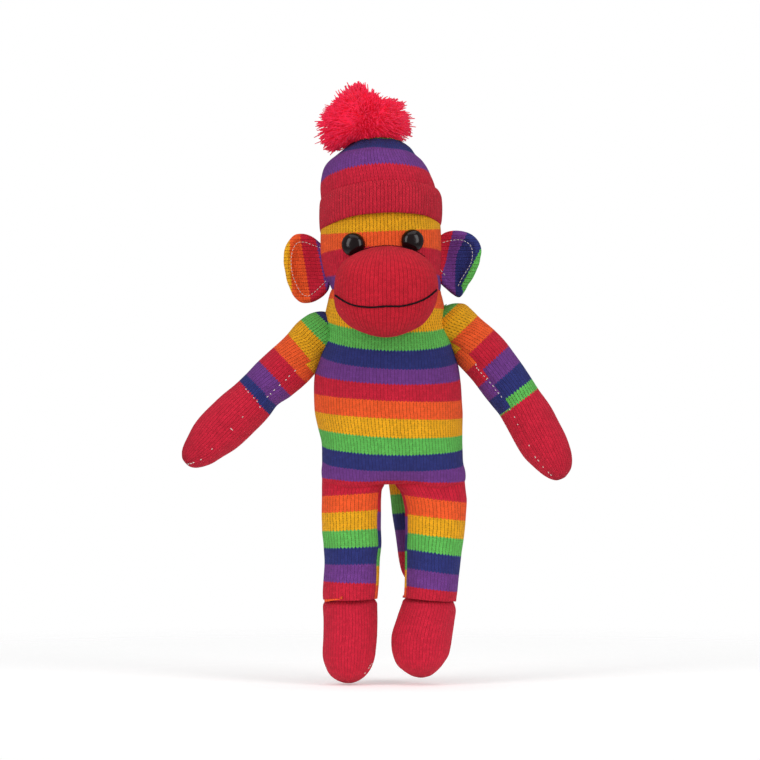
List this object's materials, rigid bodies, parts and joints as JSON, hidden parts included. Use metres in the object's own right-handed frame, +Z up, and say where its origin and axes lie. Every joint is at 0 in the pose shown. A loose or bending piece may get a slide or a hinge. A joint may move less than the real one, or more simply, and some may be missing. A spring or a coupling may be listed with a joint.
{
  "type": "stuffed doll",
  "caption": "Stuffed sock monkey doll in a knitted hat with a yarn pompom; jointed neck, ears, arms, hips, legs, feet and tail, held upright at a flat patch on its back.",
  "frame": {"origin": "middle of the flat patch on the back of the torso, where the doll is held", "axes": "+Z up through the head, +Y out of the back; the doll faces -Y and its own left side is at +X"},
  "size_m": [0.2649, 0.1397, 0.406],
  "materials": {
    "blue_cloth": "matte",
    "orange_cloth": "matte",
    "yellow_cloth": "matte",
    "green_cloth": "matte",
    "red_cloth": "matte",
    "purple_cloth": "matte",
    "red_yarn": "matte",
    "green_yarn": "matte",
    "white_filling": "matte",
    "white_thread": "matte",
    "black_thread": "matte",
    "eye_plastic": "gloss",
    "washer_plastic": "satin"
  },
  "bodies": {
    "torso": {"torso_skin": "blue_cloth", "torso_stuffing": "white_filling"},
    "neck": {"neck_band": "orange_cloth"},
    "head": {"head_skin": "orange_cloth", "head_stuffing": "white_filling", "muzzle_skin": "red_cloth", "muzzle_stuffing": "white_filling", "mouth_thread": "black_thread", "eye_left": "eye_plastic", "eye_right": "eye_plastic", "eye_washer_left": "washer_plastic", "eye_washer_right": "washer_plastic", "hat_crown": "purple_cloth", "hat_cuff": "red_cloth", "pompom_tie": "green_yarn"},
    "pompom": {"pompom": "red_yarn"},
    "ear_left": {"ear_left_skin": "yellow_cloth", "ear_left_stuffing": "white_filling", "ear_left_topstitch": "white_thread"},
    "shoulder_left": {"shoulder_left": "blue_cloth"},
    "arm_left": {"arm_left_skin": "yellow_cloth", "arm_left_stuffing": "white_filling", "arm_left_seam_thread": "white_thread"},
    "hip_left": {"hip_left": "blue_cloth"},
    "leg_left": {"leg_left_skin": "green_cloth", "leg_left_stuffing": "white_filling"},
    "foot_left": {"foot_left_skin": "red_cloth", "foot_left_stuffing": "white_filling"},
    "ear_right": {"ear_right_skin": "yellow_cloth", "ear_right_stuffing": "white_filling", "ear_right_topstitch": "white_thread"},
    "shoulder_right": {"shoulder_right": "blue_cloth"},
    "arm_right": {"arm_right_skin": "yellow_cloth", "arm_right_stuffing": "white_filling", "arm_right_seam_thread": "white_thread"},
    "hip_right": {"hip_right": "blue_cloth"},
    "leg_right": {"leg_right_skin": "green_cloth", "leg_right_stuffing": "white_filling"},
    "foot_right": {"foot_right_skin": "red_cloth", "foot_right_stuffing": "white_filling"},
    "tail": {"tail_skin": "purple_cloth", "tail_stuffing": "white_filling"}
  },
  "joints": [
    {"name": "neck_turn", "type": "hinge", "parent": "torso", "child": "neck", "pos_m": [-0.00093, -0.0345, 0.09607], "axis": [0, 0, 1], "range_deg": [-35, 35], "stiffness_Nm_per_rad": 0.05},
    {"name": "head_nod", "type": "hinge", "parent": "neck", "child": "head", "pos_m": [-0.00093, -0.0345, 0.09607], "axis": [1, 0, 0], "range_deg": [-18, 1], "stiffness_Nm_per_rad": 0.05, "springref_deg": -16.84},
    {"name": "pompom_tilt", "type": "hinge", "parent": "head", "child": "pompom", "pos_m": [-0.01008, -0.0345, 0.16919], "axis": [0, 1, 0], "range_deg": [-8, 8], "stiffness_Nm_per_rad": 0.02, "springref_deg": 4.89},
    {"name": "ear_left_flap", "type": "hinge", "parent": "head", "child": "ear_left", "pos_m": [0.03884, -0.0345, 0.09339], "axis": [0.0052, 0, 1], "range_deg": [-18, 18], "stiffness_Nm_per_rad": 0.02},
    {"name": "shoulder_left_raise", "type": "hinge", "parent": "torso", "child": "shoulder_left", "pos_m": [0.04851, -0.0345, 0.0439], "axis": [0, -1, 0], "range_deg": [-9, 70], "stiffness_Nm_per_rad": 0.05, "springref_deg": 9.13},
    {"name": "arm_left_swing", "type": "hinge", "parent": "shoulder_left", "child": "arm_left", "pos_m": [0.04851, -0.0345, 0.0439], "axis": [-0.682, 0, -0.7314], "range_deg": [-20, 45], "stiffness_Nm_per_rad": 0.05},
    {"name": "hip_left_swing", "type": "hinge", "parent": "torso", "child": "hip_left", "pos_m": [0.032, -0.0345, -0.04973], "axis": [-1, 0, 0], "range_deg": [-10, 85], "stiffness_Nm_per_rad": 0.05},
    {"name": "leg_left_splay", "type": "hinge", "parent": "hip_left", "child": "leg_left", "pos_m": [0.032, -0.0345, -0.04973], "axis": [0, -1, 0], "range_deg": [0, 25], "stiffness_Nm_per_rad": 0.05, "springref_deg": -1.76},
    {"name": "ankle_left_flex", "type": "hinge", "parent": "leg_left", "child": "foot_left", "pos_m": [0.0262, -0.0345, -0.14502], "axis": [-1, 0, 0], "range_deg": [-20, 20], "stiffness_Nm_per_rad": 0.05},
    {"name": "ear_right_flap", "type": "hinge", "parent": "head", "child": "ear_right", "pos_m": [-0.04391, -0.0345, 0.09071], "axis": [-0.216, 0, 0.9764], "range_deg": [-18, 18], "stiffness_Nm_per_rad": 0.02},
    {"name": "shoulder_right_raise", "type": "hinge", "parent": "torso", "child": "shoulder_right", "pos_m": [-0.04851, -0.0345, 0.04086], "axis": [0, 1, 0], "range_deg": [-9, 70], "stiffness_Nm_per_rad": 0.05, "springref_deg": 10.86},
    {"name": "arm_right_swing", "type": "hinge", "parent": "shoulder_right", "child": "arm_right", "pos_m": [-0.04851, -0.0345, 0.04086], "axis": [-0.6428, 0, 0.766], "range_deg": [-20, 45], "stiffness_Nm_per_rad": 0.05},
    {"name": "hip_right_swing", "type": "hinge", "parent": "torso", "child": "hip_right", "pos_m": [-0.0246, -0.0345, -0.04973], "axis": [-1, 0, 0], "range_deg": [-10, 85], "stiffness_Nm_per_rad": 0.05},
    {"name": "leg_right_splay", "type": "hinge", "parent": "hip_right", "child": "leg_right", "pos_m": [-0.0246, -0.0345, -0.04973], "axis": [0, 1, 0], "range_deg": [0, 25], "stiffness_Nm_per_rad": 0.05},
    {"name": "ankle_right_flex", "type": "hinge", "parent": "leg_right", "child": "foot_right", "pos_m": [-0.02418, -0.0345, -0.14529], "axis": [-1, 0, 0], "range_deg": [-20, 20], "stiffness_Nm_per_rad": 0.05},
    {"name": "tail_lift", "type": "hinge", "parent": "torso", "child": "tail", "pos_m": [0.0104, -0.0001, -0.03099], "axis": [1, 0, 0], "range_deg": [0, 80], "stiffness_Nm_per_rad": 0.05, "springref_deg": 1.04}
  ]
}
